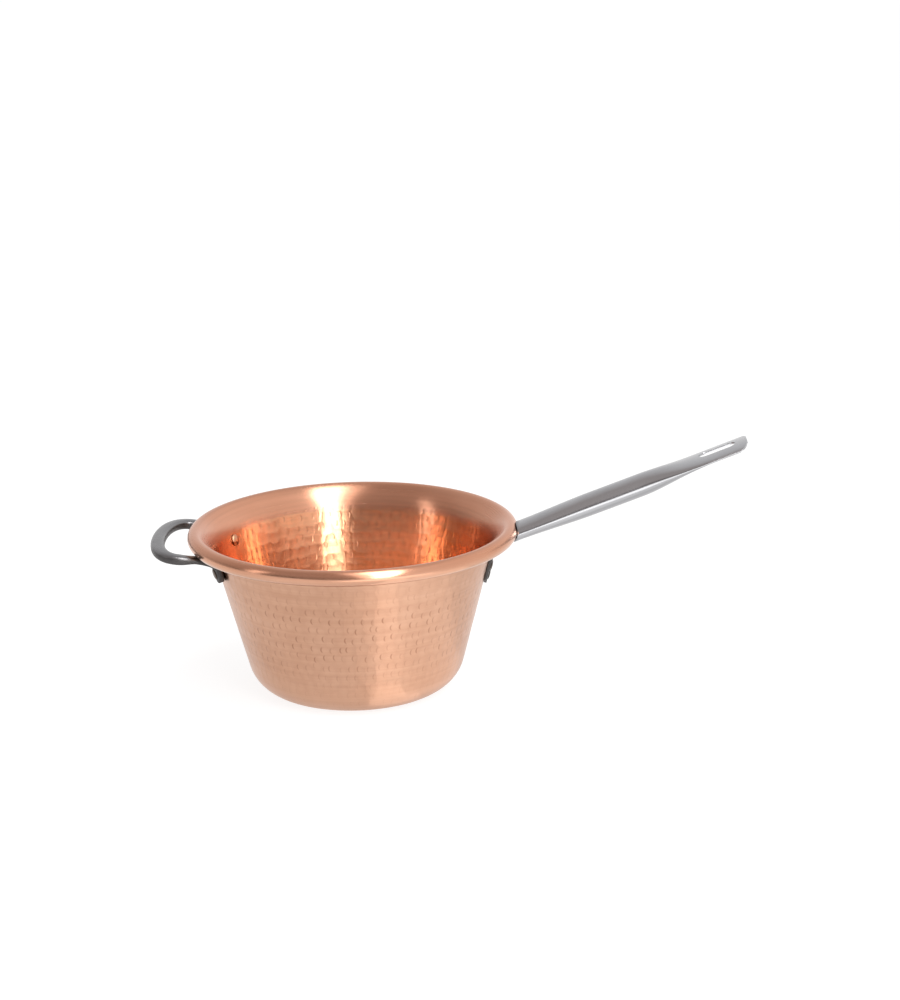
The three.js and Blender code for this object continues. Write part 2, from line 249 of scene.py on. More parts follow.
def even_turns(count):
    return np.arange(count) * (FULL_TURN / count)


def between(first, second):
    """Quads between two closed loops with as many corners."""
    return list(zip(first, first[1:] + first[:1], second[1:] + second[:1], second))


def ring_corners(ring, segments):
    return list(range(ring * segments, (ring + 1) * segments))


def stacked_faces(ring_count, segments):
    """Quads between each closed ring and the next one."""
    rings = [ring_corners(ring, segments) for ring in range(ring_count)]
    return [face for low, high in zip(rings, rings[1:]) for face in between(low, high)]


def capped_faces(ring_count, segments):
    """Quads between closed rings, and a fan to one more corner at each end."""
    first_apex = ring_count * segments
    last_apex = first_apex + 1
    first = ring_corners(0, segments)
    last = ring_corners(ring_count - 1, segments)
    first_fan = [(first_apex, following, corner) for corner, following in zip(first, first[1:] + first[:1])]
    last_fan = [(corner, following, last_apex) for corner, following in zip(last, last[1:] + last[:1])]
    return first_fan + stacked_faces(ring_count, segments) + last_fan


def block_outline(rings, columns):
    """Rings and columns of the corners round a block, which has a first and a last of both."""
    outline = [(rings[0], column) for column in range(columns[0], columns[1])]
    outline += [(ring, columns[1]) for ring in range(rings[0], rings[1])]
    outline += [(rings[1], column) for column in range(columns[1], columns[0], -1)]
    outline += [(ring, columns[0]) for ring in range(rings[1], rings[0], -1)]
    return outline


def sheet_faces(ring_count, column_count, rings=(0, 0), columns=(0, 0)):
    """Quads of a sheet, without those of a block, and the corners round the sheet."""
    count = column_count + 1
    faces = []
    for ring in range(ring_count - 1):
        for column in range(column_count):
            in_block = rings[0] <= ring < rings[1] and columns[0] <= column < columns[1]
            if not in_block:
                low = ring * count + column
                faces.append((low, low + 1, low + count + 1, low + count))
    outline = block_outline((0, ring_count - 1), (0, column_count))
    return faces, [ring * count + column for ring, column in outline]


def thick(outer, inner, faces, loops):
    """A closed sheet from its two sides: faces on both, and walls along its edges."""
    count = len(outer)
    closed = [face[::-1] for face in faces]
    closed += [tuple(corner + count for corner in face) for face in faces]
    for loop in loops:
        closed += between(loop, [corner + count for corner in loop])
    return np.concatenate([outer, inner]), closed


def flat_uv(faces, coordinates):
    return [coordinates[corner] for face in faces for corner in face]


def add_object(name, data):
    added = bpy.data.objects.new(name, data)
    bpy.context.scene.collection.objects.link(added)
    return added


def add_piece(name, vertices, faces, replaced, uv=None, attributes=None):
    """Makes a mesh from corners in millimetres, and sets it on the CAD body in place of a CAD node."""
    mesh = bpy.data.meshes.new(name)
    mesh.from_pydata((np.asarray(vertices) * MM).tolist(), [], faces)
    mesh.update()
    mesh.shade_smooth()
    for label, values in (attributes or {}).items():
        layer = mesh.attributes.new(label, "FLOAT", "POINT")
        layer.data.foreach_set("value", np.asarray(values, np.float32))
    if uv is not None:
        layer = mesh.uv_layers.new(name="UVMap")
        layer.data.foreach_set("uv", np.asarray(uv, np.float32).ravel())
    piece = add_object(name, mesh)
    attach(piece, "root")
    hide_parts(replaced)
    return piece


def soften_edges(piece):
    """Rounds the sharp edges of a piece and keeps the rounded mesh."""
    bevel = piece.modifiers.new("rounded_edges", "BEVEL")
    bevel.width = EDGE_BEVEL * MM
    bevel.segments = EDGE_STEPS
    bevel.limit_method = "ANGLE"
    bevel.angle_limit = BEVEL_ANGLE
    bevel.use_clamp_overlap = True
    bpy.context.view_layer.update()
    evaluated = piece.evaluated_get(bpy.context.evaluated_depsgraph_get())
    rounded = bpy.data.meshes.new_from_object(evaluated)
    rounded.name = piece.name
    piece.modifiers.clear()
    piece.data = rounded
    rounded.shade_smooth()
    rounded.set_sharp_from_angle(angle=SHARP_ANGLE)


# Pot: profile, hammer marks and skin

SLOPE = math.tan(WALL_LEAN)
BEAD_CENTRE = (RIM_RADIUS - BEAD_RADIUS, POT_HEIGHT - BEAD_RADIUS)
LIP_OFFSET = LIP_RADIUS - BEAD_RADIUS
LIP_CENTRE = (
    BEAD_CENTRE[0] + LIP_OFFSET * math.cos(LIP_LEAN),
    BEAD_CENTRE[1] - LIP_OFFSET * math.sin(LIP_LEAN),
)
FOOT_RADIUS = LIP_CENTRE[0] - (LIP_RADIUS - POT_SHEET) / math.cos(WALL_LEAN) - LIP_CENTRE[1] * SLOPE
CORNER_CENTRE = (FOOT_RADIUS + CORNER_RADIUS * (SLOPE - 1 / math.cos(WALL_LEAN)), CORNER_RADIUS)


def wall_radius(height):
    return FOOT_RADIUS + height * SLOPE


def curl_end():
    """Angle round the bead at which the curled edge stops, just clear of the flare."""
    edge_radius = LIP_RADIUS - POT_SHEET - CURL_CLEARANCE
    cosine = (edge_radius ** 2 - BEAD_RADIUS ** 2 - LIP_OFFSET ** 2) / (2 * BEAD_RADIUS * LIP_OFFSET)
    return math.acos(cosine) - math.pi - LIP_LEAN


def straight(start, end, count):
    """Points between two ends, without the ends themselves."""
    shares = np.linspace(0.0, 1.0, count + 2)[1:-1, None]
    return mix(np.asarray(start, float), np.asarray(end, float), shares)


def pot_profile():
    """Rings of the pot as radius and height, with how polished and how far inside each one is."""
    corner = arc(CORNER_CENTRE, CORNER_RADIUS, -QUARTER, -WALL_LEAN, CORNER_RINGS)
    wall_end = math.pi - WALL_LEAN
    lip_end = math.pi - LIP_LEAN
    flare = arc(LIP_CENTRE, LIP_RADIUS - POT_SHEET, wall_end, lip_end, FLARE_RINGS)
    curl = arc(BEAD_CENTRE, BEAD_RADIUS - POT_SHEET, lip_end, curl_end(), CURL_RINGS)[1:]
    bead = arc(BEAD_CENTRE, BEAD_RADIUS, curl_end(), lip_end, BEAD_RINGS)
    lip = arc(LIP_CENTRE, LIP_RADIUS, lip_end, wall_end, LIP_RINGS)[1:]
    inner_corner = arc(CORNER_CENTRE, CORNER_RADIUS - POT_SHEET, -WALL_LEAN, -QUARTER, INNER_CORNER_RINGS)
    base = straight((0.0, 0.0), corner[0], BASE_RINGS)
    wall = straight(corner[-1], flare[0], WALL_RINGS)
    inner_wall = straight(lip[-1], inner_corner[0], INNER_WALL_RINGS)
    inner_base = straight(inner_corner[-1], (0.0, POT_SHEET), BASE_RINGS)
    outside = [base, corner, wall, flare, curl]
    rim = [bead, lip]
    inside = [inner_wall, inner_corner, inner_base]
    rings = np.concatenate(outside + rim + inside)
    counts = [sum(len(band) for band in part) for part in (outside, rim, inside)]
    polish = np.repeat((OUTSIDE_POLISH, RIM_POLISH, INSIDE_POLISH), counts)
    inner = np.repeat((0.0, 1.0, 1.0), counts)
    turn_from, turn_to = [len(bead) * share for share in BEAD_TURN]
    inner[counts[0]:counts[0] + len(bead)] = smoothstep(np.arange(len(bead)), turn_from, turn_to)
    return rings, polish, inner


def ring_normals(rings):
    """Normals of the profile, out of the metal, in radius and height."""
    along = np.gradient(rings, axis=0)
    return unit(np.stack([along[:, 1], -along[:, 0]], axis=1))


class HammerRows:
    """Rows of shallow flats round the wall, each a little out of place."""

    def __init__(self, seed):
        chance = np.random.default_rng(seed)
        self.heights = np.arange(HAMMERED_FROM, HAMMERED_TO, ROW_PITCH * math.cos(WALL_LEAN))
        self.rows = []
        for number, height in enumerate(self.heights):
            count = int(round(FULL_TURN * wall_radius(height) / MARK_PITCH))
            self.rows.append({
                "count": count,
                "phase": ROW_SHIFT * (number % 2) + chance.uniform(-ROW_JITTER, ROW_JITTER),
                "aside": chance.normal(0.0, MARK_JITTER, count),
                "along": chance.normal(0.0, MARK_JITTER, count),
                "lift": chance.normal(0.0, MARK_LIFT, count),
            })

    def skin(self, azimuth, height):
        """Height of the hammered skin round one ring, the lowest of the flats nearby."""
        skin = np.full(len(azimuth), np.inf)
        nearest = int(np.argmin(np.abs(self.heights - height)))
        for number in range(max(nearest - 1, 0), min(nearest + 2, len(self.rows))):
            row = self.rows[number]
            rise = (height - self.heights[number]) / math.cos(WALL_LEAN)
            pitch = FULL_TURN * wall_radius(height) / row["count"]
            place = azimuth / FULL_TURN * row["count"] + row["phase"]
            cell = np.floor(place).astype(int)
            for step in (-1, 0, 1):
                mark = (cell + step) % row["count"]
                aside = (place - cell - step - 0.5) * pitch - row["aside"][mark]
                along = rise - row["along"][mark]
                skin = np.minimum(skin, FLATTENING * (aside ** 2 + along ** 2) + row["lift"][mark])
        return skin - FLATTENING * (MARK_PITCH / 2) ** 2 / 2


def hammered(rings, azimuth):
    """How far the hammer has moved each ring of both walls out of round."""
    rows = HammerRows(SEED)
    offsets = np.zeros((len(rings), len(azimuth)))
    for number, (radius, height) in enumerate(rings):
        if abs(radius - wall_radius(height)) < NEAR_WALL:
            flats = smoothstep(height, HAMMERED_FROM - FADE / 2, HAMMERED_FROM + FADE / 2)
            flats = flats * (1 - smoothstep(height, HAMMERED_TO - FADE, HAMMERED_TO))
            offsets[number] = rows.skin(azimuth, height) * flats
    return offsets


def pot_uv(places):
    """Share round the pot and share along the profile, for each corner of each face."""
    sides = [(number / POT_SEGMENTS, (number + 1) / POT_SEGMENTS) for number in range(POT_SEGMENTS)]
    corners = []
    for left, right in sides:
        corners += [((left + right) / 2, 0.0), (right, 0.0), (left, 0.0)]
    for low, high in zip(places, places[1:]):
        for left, right in sides:
            corners += [(left, low), (right, low), (right, high), (left, high)]
    for left, right in sides:
        corners += [(left, 1.0), (right, 1.0), ((left + right) / 2, 1.0)]
    return corners


def make_pot():
    rings, polish, inner = pot_profile()
    normals = ring_normals(rings)
    azimuth = even_turns(POT_SEGMENTS)
    offsets = hammered(rings, azimuth)
    radius = rings[:, 0, None] + offsets * normals[:, 0, None]
    height = rings[:, 1, None] + offsets * normals[:, 1, None]
    vertices = np.stack([radius * np.cos(azimuth), radius * np.sin(azimuth), height], axis=2).reshape(-1, 3)
    vertices = np.concatenate([vertices, [[0.0, 0.0, 0.0], [0.0, 0.0, POT_SHEET]]])
    faces = capped_faces(len(rings), POT_SEGMENTS)
    attributes = {
        label: np.concatenate([np.repeat(values, POT_SEGMENTS), values[[0, -1]]])
        for label, values in (("polish", polish), ("inside", inner))
    }
    profile = Path(rings)
    uv = pot_uv(profile.places / profile.length)
    return add_piece("hammered_pot", vertices, faces, "pot_body", uv, attributes)


# Long handle: a thick sheet bent round an oval, with a slot in its flat end

def from_root(run, rise):
    return RIM_RADIUS + run, 0.0, TUBE_ROOT_HEIGHT + run * math.tan(rise)


TUBE_CONTROLS = [
    from_root(0.0, TUBE_RISE),
    from_root(TUBE_RUN / 2, TUBE_RISE),
    from_root(TUBE_RUN, (TUBE_RISE + TUBE_TIP_RISE) / 2),
]
TUBE_CURVE = Path(bezier(TUBE_CONTROLS, TUBE_CURVE_STEPS))
TUBE_LENGTH = TUBE_CURVE.length
SLOT_MIDDLE = TUBE_LENGTH - SLOT_EDGE - SLOT_LENGTH / 2


def tube_section(along):
    """Half width, half depth and wrap of the middle of the sheet at distances from the rim."""
    swell = smoothstep(along, 0.0, BELLY_START)
    flat = smoothstep(along, BELLY_END, TIP_START)
    half_width, half_depth = [
        mix(mix(root, belly, swell), tip, flat) - TUBE_SHEET / 2
        for root, belly, tip in zip(ROOT_HALF, BELLY_HALF, TIP_HALF)
    ]
    closed = math.pi - np.arcsin(SEAM_GAP / 2 / half_width)
    kept = rounded_end(TUBE_LENGTH - along, TIP_ROUND, LEAST_TIP_END, TIP_ROUND_POWER)
    return half_width, half_depth, mix(closed, TIP_WRAP, flat) * np.arcsin(kept) / QUARTER


def on_tube(along, turn, lift):
    """Points of the sheet: turn is measured from the top, lift from the middle of the sheet."""
    half_width, half_depth, _ = tube_section(along)
    normal = unit(np.stack([np.sin(turn) / half_width, np.cos(turn) / half_depth], axis=1))
    aside = half_width * np.sin(turn) + lift * normal[:, 0]
    above = half_depth * np.cos(turn) + lift * normal[:, 1]
    above = above + TIP_LIFT * smoothstep(along, BELLY_END, TIP_START)
    forward = TUBE_CURVE.forward(along)
    point = TUBE_CURVE.at(along) + forward * np.minimum(along, 0.0)[:, None]
    up = np.cross(forward, ACROSS)
    return point + aside[:, None] * ACROSS + above[:, None] * up


def mouth_start(turn):
    """Distance along the tube at which it meets the hollow cut that clears the bead."""
    along = np.zeros(len(turn))
    for _ in range(MOUTH_TRIES):
        point = on_tube(along, turn, 0.0)
        above_bead = point[:, 2] - BEAD_CENTRE[1]
        left = np.maximum((BEAD_RADIUS + MOUTH_GAP) ** 2 - above_bead ** 2, LEAST_MOUTH_REACH ** 2)
        along += BEAD_CENTRE[0] + np.sqrt(left) - np.hypot(point[:, 0], point[:, 1])
    return along


def tube_rings():
    """Places of the sheet's rings, then distance along, turn and distance aside of every corner."""
    shares = np.linspace(-1.0, 1.0, TUBE_COLUMNS + 1)
    plain = np.linspace(0.0, TUBE_LENGTH - TIP_ROUND, TUBE_RINGS)
    end_turns = np.linspace(0.0, QUARTER, TIP_END_RINGS)[1:]
    places = np.concatenate([plain, TUBE_LENGTH - TIP_ROUND + TIP_ROUND * np.sin(end_turns)])
    mouth = mouth_start(shares * tube_section(np.zeros(len(shares)))[2])
    ease = 1 - smoothstep(places, 0.0, MOUTH_EASE)
    along = places[:, None] + mouth[None, :] * ease[:, None]
    half_width, _, wrap = tube_section(along)
    turn = shares[None, :] * wrap
    return places, along, turn, half_width * np.sin(turn)


def slot_block(places, aside):
    """First and last ring, and first and last column, of the faces that make room for the slot."""
    rings = np.where(np.abs(places - SLOT_MIDDLE) < SLOT_LENGTH / 2 + SLOT_MARGIN)[0]
    middle_ring = aside[(rings[0] + rings[-1]) // 2]
    columns = np.where(np.abs(middle_ring) < SLOT_WIDTH / 2 + SLOT_MARGIN)[0]
    return (rings[0], rings[-1]), (columns[0], columns[-1])


def slot_outline(along, aside):
    """Nearest points of the slot's outline to points round it."""
    half_straight = (SLOT_LENGTH - SLOT_WIDTH) / 2
    from_middle = along - SLOT_MIDDLE
    middle = np.clip(from_middle, -half_straight, half_straight)
    away = unit(np.stack([from_middle - middle, aside], axis=1))
    return SLOT_MIDDLE + middle + away[:, 0] * SLOT_WIDTH / 2, away[:, 1] * SLOT_WIDTH / 2


def slot_rings(along, aside):
    """Loops of corners from the block's outline in to the slot, as distance along and turn."""
    hole_along, hole_aside = slot_outline(along, aside)
    shares = np.arange(1, SLOT_LOOPS + 1)[:, None] / SLOT_LOOPS
    loop_along = mix(along, hole_along, shares)
    loop_aside = mix(aside, hole_aside, shares)
    return loop_along, np.arcsin(loop_aside / tube_section(loop_along)[0])


def tube_grid():
    """Sheet corners as distance along and turn, and the faces between them, with the slot left open."""
    places, along, turn, aside = tube_rings()
    block = slot_block(places, aside)
    faces, edge = sheet_faces(len(places), TUBE_COLUMNS, *block)
    rings, columns = np.array(block_outline(*block)).T
    slot_along, slot_turn = slot_rings(along[rings, columns], aside[rings, columns])
    rim = (rings * (TUBE_COLUMNS + 1) + columns).tolist()
    for number in range(SLOT_LOOPS):
        following = [along.size + corner for corner in ring_corners(number, len(rim))]
        faces += between(rim, following)
        rim = following
    all_along = np.concatenate([along.ravel(), slot_along.ravel()])
    all_turn = np.concatenate([turn.ravel(), slot_turn.ravel()])
    return all_along, all_turn, faces, [edge, rim[::-1]]


def strip_path():
    """Outer face of palm and tongue, from the lower end of the palm to the end of the weld."""
    up_wall = np.array([math.sin(WALL_LEAN), 0.0, math.cos(WALL_LEAN)])
    wall_out = np.array([math.cos(WALL_LEAN), 0.0, -math.sin(WALL_LEAN)])
    lower = np.array([wall_radius(PALM_BOTTOM), 0.0, PALM_BOTTOM]) + wall_out * (CLEARANCE + PALM_SHEET)
    forward = TUBE_CURVE.forward(np.zeros(1))[0]
    start = TUBE_CURVE.points[0] - np.cross(forward, ACROSS) * TONGUE_DEPTH
    apart = start - lower
    turn = up_wall[0] * forward[2] - up_wall[2] * forward[0]
    run = (apart[0] * forward[2] - apart[2] * forward[0]) / turn
    corner = lower + up_wall * run
    bend_start = corner - up_wall * PALM_BEND
    bend_end = corner + forward * PALM_BEND
    points = np.concatenate([
        bezier([lower, bend_start], STRIP_CURVE_STEPS),
        bezier([bend_start, corner, bend_end], STRIP_CURVE_STEPS)[1:],
        bezier([bend_end, start + forward * TONGUE_LAP], STRIP_CURVE_STEPS)[1:],
    ])
    return Path(points), run - PALM_BEND, run + PALM_BEND


def strip_sides():
    """Both sides of palm and tongue, hollowed to the wall and to the floor of the tube."""
    path, bend_from, bend_to = strip_path()
    along = end_rings(PALM_ROUND, path.length, PALM_END_RINGS, STRIP_RINGS)
    shares = np.linspace(-1.0, 1.0, STRIP_COLUMNS + 1)
    place, share = [grid.ravel() for grid in np.meshgrid(along, shares, indexing="ij")]
    opened = smoothstep(place, bend_from, bend_to)
    palm_half = PALM_HALF_WIDTH * rounded_end(place, PALM_ROUND, LEAST_PALM_END)
    sideways = share * mix(palm_half, TONGUE_HALF_WIDTH, opened)
    point = path.at(place)
    inward = np.cross(path.forward(place), ACROSS)
    radius = wall_radius(point[:, 2])
    hollow = mix(radius - np.sqrt(radius ** 2 - sideways ** 2), TONGUE_HOLLOW * share ** 2, opened)
    front = point + sideways[:, None] * ACROSS + hollow[:, None] * inward
    back = front + inward * mix(PALM_SHEET, TONGUE_SHEET, opened)[:, None]
    faces, edge = sheet_faces(len(along), STRIP_COLUMNS)
    turned_over = [face[:1] + face[:0:-1] for face in faces]
    return front, back, turned_over, [edge[::-1]]


def make_long_handle():
    along, turn, faces, loops = tube_grid()
    outer = on_tube(along, turn, TUBE_SHEET / 2)
    inner = on_tube(along, turn, -TUBE_SHEET / 2)
    tube_vertices, tube_faces = thick(outer, inner, faces, loops)
    tube_uv = np.stack([turn / FULL_TURN, along / TUBE_LENGTH], axis=1)
    strip_vertices, strip_faces = thick(*strip_sides())
    strip_uv = strip_vertices[:, [1, 2]] / TUBE_LENGTH
    moved = [tuple(corner + len(tube_vertices) for corner in face) for face in strip_faces]
    vertices = np.concatenate([tube_vertices, strip_vertices])
    all_faces = tube_faces + moved
    uv = flat_uv(all_faces, np.concatenate([tube_uv, tube_uv, strip_uv]))
    handle = add_piece("rolled_handle", vertices, all_faces, "long_handle", uv)
    soften_edges(handle)
    return handle


# Loop handle: a forged bar along a bent line, flattened into a foot at each end

BAR_PASSES_BEAD = math.sqrt(BEAD_CENTRE[0] ** 2 - LOOP_HALF_SPAN ** 2)
FOOT_AZIMUTH = math.asin(FOOT_HALF_SPAN / wall_radius(FOOT_TOP))


def on_wall(azimuth, height, out):
    radius = wall_radius(height) + out * math.cos(WALL_LEAN)
    return np.array([
        radius * math.cos(azimuth),
        radius * math.sin(azimuth),
        height - out * math.sin(WALL_LEAN),
    ])


def on_loop(out, aside):
    return np.array([-out, aside, BAR_HEIGHT + max(out - BAR_PASSES_BEAD, 0.0) * math.tan(LOOP_RISE)])


def loop_half():
    """Half of the bar's middle line, from the lower end of a foot to the front of the bow."""
    out = CLEARANCE + FOOT_HALF[1]
    lower = on_wall(math.pi - FOOT_AZIMUTH, FOOT_BOTTOM, out)
    upper = on_wall(math.pi - FOOT_AZIMUTH, FOOT_TOP, out)
    rise = unit(upper - lower)
    knee = upper + rise * (BAR_HEIGHT - upper[2]) / rise[2]
    leg_start = on_loop(KNEE_BEND - knee[0], knee[1])
    leg_end = on_loop(RIM_RADIUS + LEG_RUN, LOOP_HALF_SPAN)
    leg_middle = -(leg_start[0] + leg_end[0]) / 2
    leg_controls = [on_loop(leg_middle, end[1]) for end in (leg_start, leg_end)]
    front = on_loop(RIM_RADIUS + LOOP_STANDOFF - BAR_HALF[0], 0.0)
    corner = on_loop(-front[0], LOOP_HALF_SPAN)
    bow_controls = [mix(end, corner, BOW_FULLNESS) for end in (leg_end, front)]
    bend = bezier([upper, knee, leg_start], LOOP_CURVE_STEPS)
    points = np.concatenate([
        bezier([lower, upper], LOOP_CURVE_STEPS),
        bend[1:],
        bezier([leg_start, *leg_controls, leg_end], LOOP_CURVE_STEPS)[1:],
        bezier([leg_end, *bow_controls, front], LOOP_CURVE_STEPS)[1:],
    ])
    foot_length = np.linalg.norm(upper - lower) + Path(bend).length / 2
    return Path(points), foot_length, BAR_PASSES_BEAD + knee[0]


def powered(value, power):
    return np.sign(value) * np.abs(value) ** (2 / power)


def loop_rings(path, along, foot_length, leg_length):
    """Rings of corners round the bar, from the end of a foot to the front of the bow."""
    forward = path.forward(along)
    forward[-1] = -ACROSS
    wide = unit(np.cross(UPWARDS, forward))
    high = np.cross(forward, wide)
    passed = foot_length + leg_length
    risen = smoothstep(along, foot_length, passed)
    swollen = smoothstep(along, passed, passed + BAR_SWELL)
    foot_half = FOOT_HALF[0] * rounded_end(along, FOOT_ROUND, LEAST_FOOT_END)
    half_width = mix(foot_half, BAR_HALF[0], risen)
    half_depth = mix(FOOT_HALF[1], BAR_HALF[1], swollen)
    power = mix(FOOT_POWER, BAR_POWER, risen)[:, None]
    turns = even_turns(LOOP_SIDES)
    sideways = powered(np.cos(turns), power) * half_width[:, None]
    upward = powered(np.sin(turns), power) * half_depth[:, None]
    to_side = sideways[:, :, None] * wide[:, None]
    to_top = upward[:, :, None] * high[:, None]
    return path.at(along)[:, None] + to_side + to_top


def make_loop():
    path, foot_length, leg_length = loop_half()
    along = end_rings(FOOT_ROUND, path.length, FOOT_END_RINGS, LOOP_RINGS)
    half = loop_rings(path, along, foot_length, leg_length)
    rings = np.concatenate([half, half[-2::-1] * MIRROR])
    vertices = rings.reshape(-1, 3)
    faces = stacked_faces(len(rings), LOOP_SIDES)
    faces.append(tuple(ring_corners(0, LOOP_SIDES)[::-1]))
    faces.append(tuple(ring_corners(len(rings) - 1, LOOP_SIDES)))
    places = np.concatenate([along, 2 * path.length - along[-2::-1]])
    coordinates = np.stack([
        np.tile(np.arange(LOOP_SIDES) / LOOP_SIDES, len(rings)),
        np.repeat(places / (2 * path.length), LOOP_SIDES),
    ], axis=1)
    loop = add_piece("forged_loop", vertices, faces, "loop_handle", flat_uv(faces, coordinates))
    soften_edges(loop)
    return loop


# Rivets: a domed head inside the pot, a shank and a hammered end outside

def rivet_profile(grip):
    """Rings of a rivet as radius and distance out of the wall, and the distance of both its ends."""
    hollow = HEAD[0] ** 2 / (2 * wall_radius(0.0))
    inside = -POT_SHEET - CLEARANCE - hollow
    outside = 2 * CLEARANCE + grip
    turns = np.linspace(0.0, QUARTER, DOME_STEPS)[1:]
    head = np.stack([HEAD[0] * np.sin(turns), inside - HEAD[1] * np.cos(turns)], axis=1)
    shank = np.array([[SHANK_RADIUS, inside], [SHANK_RADIUS, outside]])
    peen = np.stack([PEEN[0] * np.sin(turns), outside + PEEN[1] * np.cos(turns)], axis=1)[::-1]
    return np.concatenate([head, shank, peen]), inside - HEAD[1], outside + PEEN[1]


def make_rivet(name, replaced, azimuth, height, grip, seed):
    rings, lowest, highest = rivet_profile(grip)
    chance = np.random.default_rng(seed)
    turns = even_turns(RIVET_SEGMENTS)
    waves = sum(
        chance.normal(0.0, RIVET_DENTS / count) * np.sin(count * turns + chance.uniform(0.0, FULL_TURN))
        for count in DENTS_ROUND
    )
    on_dome = (rings[:, 0] > SHANK_RADIUS)[:, None]
    radius = rings[:, 0, None] + waves[None, :] * on_dome
    centre = on_wall(azimuth, height, 0.0)
    normal = on_wall(azimuth, height, 1.0) - centre
    aside = unit(np.cross(UPWARDS, normal))
    up = np.cross(normal, aside)
    ring_points = (
        centre
        + rings[:, 1, None, None] * normal
        + (radius * np.cos(turns))[:, :, None] * aside
        + (radius * np.sin(turns))[:, :, None] * up
    ).reshape(-1, 3)
    vertices = np.concatenate([ring_points, [centre + lowest * normal, centre + highest * normal]])
    faces = capped_faces(len(rings), RIVET_SEGMENTS)
    rivet = add_piece(name, vertices, faces, replaced)
    rivet.data.set_sharp_from_angle(angle=RIVET_SHARP_ANGLE)
    return rivet


def make_rivets():
    upper = math.asin(HANDLE_RIVET_SPREAD / wall_radius(HANDLE_RIVET_HEIGHT))
    foot_grip = 2 * FOOT_HALF[1]
    places = [
        ("handle_rivet_left", upper, HANDLE_RIVET_HEIGHT, PALM_SHEET),
        ("handle_rivet_right", -upper, HANDLE_RIVET_HEIGHT, PALM_SHEET),
        ("handle_rivet_lower", 0.0, LOWER_RIVET_HEIGHT, PALM_SHEET),
        ("loop_rivet_left", math.pi + FOOT_AZIMUTH, LOOP_RIVET_HEIGHT, foot_grip),
        ("loop_rivet_right", math.pi - FOOT_AZIMUTH, LOOP_RIVET_HEIGHT, foot_grip),
    ]
    return [
        make_rivet("domed_" + node, node, azimuth, height, grip, SEED + number)
        for number, (node, azimuth, height, grip) in enumerate(places, 1)
    ]


# Materials

WHOLE = (0.0, 1.0)
FADING = (1.0, 0.0)
LEVEL = (1.0, 1.0, 0.0)
BRUSH_ROTATION = 0.25
UNEVEN_SPAN = (0.6, 1.4)


class Nodes:
    """Adds nodes to a tree; an input is given as a value or as the socket that feeds it."""

    def __init__(self, tree):
        self.tree = tree
        tree.nodes.clear()

    def add(self, kind, inputs=None, **settings):
        node = self.tree.nodes.new(kind)
        for name, value in settings.items():
            setattr(node, name, value)
        for name, value in (inputs or {}).items():
            if isinstance(value, bpy.types.NodeSocket):
                self.tree.links.new(value, node.inputs[name])
            else:
                node.inputs[name].default_value = value
        return node

    def math(self, operation, *values):
        return self.add("ShaderNodeMath", dict(enumerate(values)), operation=operation).outputs[0]

    def product(self, *values):
        result = values[0]
        for value in values[1:]:
            result = self.math("MULTIPLY", result, value)
        return result

    def spread(self, value, span, result=WHOLE):
        """A value from one span, moved to another and kept inside it."""
        labels = ("Value", "From Min", "From Max", "To Min", "To Max")
        inputs = dict(zip(labels, (value, *span, *result)))
        return self.add("ShaderNodeMapRange", inputs).outputs["Result"]

    def place(self):
        return self.add("ShaderNodeTexCoord").outputs["Object"]

    def split(self, vector):
        return self.add("ShaderNodeSeparateXYZ", {0: vector}).outputs

    def scaled(self, vector, scale):
        return self.add("ShaderNodeVectorMath", {0: vector, 1: scale}, operation="MULTIPLY").outputs[0]

    def from_axis(self, place):
        """Distance from the pot's axis."""
        level_place = self.scaled(place, LEVEL)
        return self.add("ShaderNodeVectorMath", {0: level_place}, operation="LENGTH").outputs["Value"]

    def noise(self, vector, scale, detail=3.0, roughness=0.5):
        inputs = {"Vector": vector, "Scale": scale, "Detail": detail, "Roughness": roughness}
        return self.add("ShaderNodeTexNoise", inputs).outputs["Fac"]

    def colour_mix(self, share, first, second):
        inputs = {"Factor": share, 6: first, 7: second}
        return self.add("ShaderNodeMix", inputs, data_type="RGBA").outputs[2]

    def bump(self, height, distance, normal=None):
        inputs = {"Height": height, "Distance": distance, "Strength": 1.0}
        if normal is not None:
            inputs["Normal"] = normal
        return self.add("ShaderNodeBump", inputs).outputs["Normal"]

    def metal(self, colour, roughness, normal, metallic=1.0, anisotropic=0.0, tangent=None):
        inputs = {
            "Base Color": colour,
            "Roughness": roughness,
            "Normal": normal,
            "Metallic": metallic,
            "Anisotropic": anisotropic,
            "Anisotropic Rotation": BRUSH_ROTATION,
        }
        if tangent is not None:
            inputs["Tangent"] = tangent
        shader = self.add("ShaderNodeBsdfPrincipled", inputs)
        self.add("ShaderNodeOutputMaterial", {"Surface": shader.outputs[0]})


def new_material(name):
    material = bpy.data.materials.new(name)
    material.use_nodes = True
    return material, Nodes(material.node_tree)


# Hammer marks in the copper: sizes of a crescent are shares of a mark, heights are above the base
HALF_TURN = (-1.0, -1.0, 1.0)
MARK_COLUMNS = 80
MARK_ROW = 0.0082
FACET_SCATTER = 0.62
CRESCENT_ASIDE = (0.27, 0.73)
CRESCENT_ABOVE = (0.32, 0.68)
CRESCENT_HALF_WIDTH = 0.095
CRESCENT_HALF_HEIGHT = 0.36
FULL_WIDTH_SHARE = 0.35
FULL_HEIGHT_SHARE = 0.5
CRESCENT_BOW = 1.3
CRESCENT_CHANCE = (-0.35, 0.75)
CRESCENT_DEPTH = 0.00005
LOWER_ROWS = (0.03, 0.055)
LOWER_STRENGTH = (0.2, 1.0)
UPPER_ROWS = (0.085, 0.105)
UPPER_STRENGTH = (1.0, 0.25)
ROWS_START = (0.014, 0.03)
ROWS_END = (0.1165, 0.1185)
HOLLOW_DEPTH = 0.0003


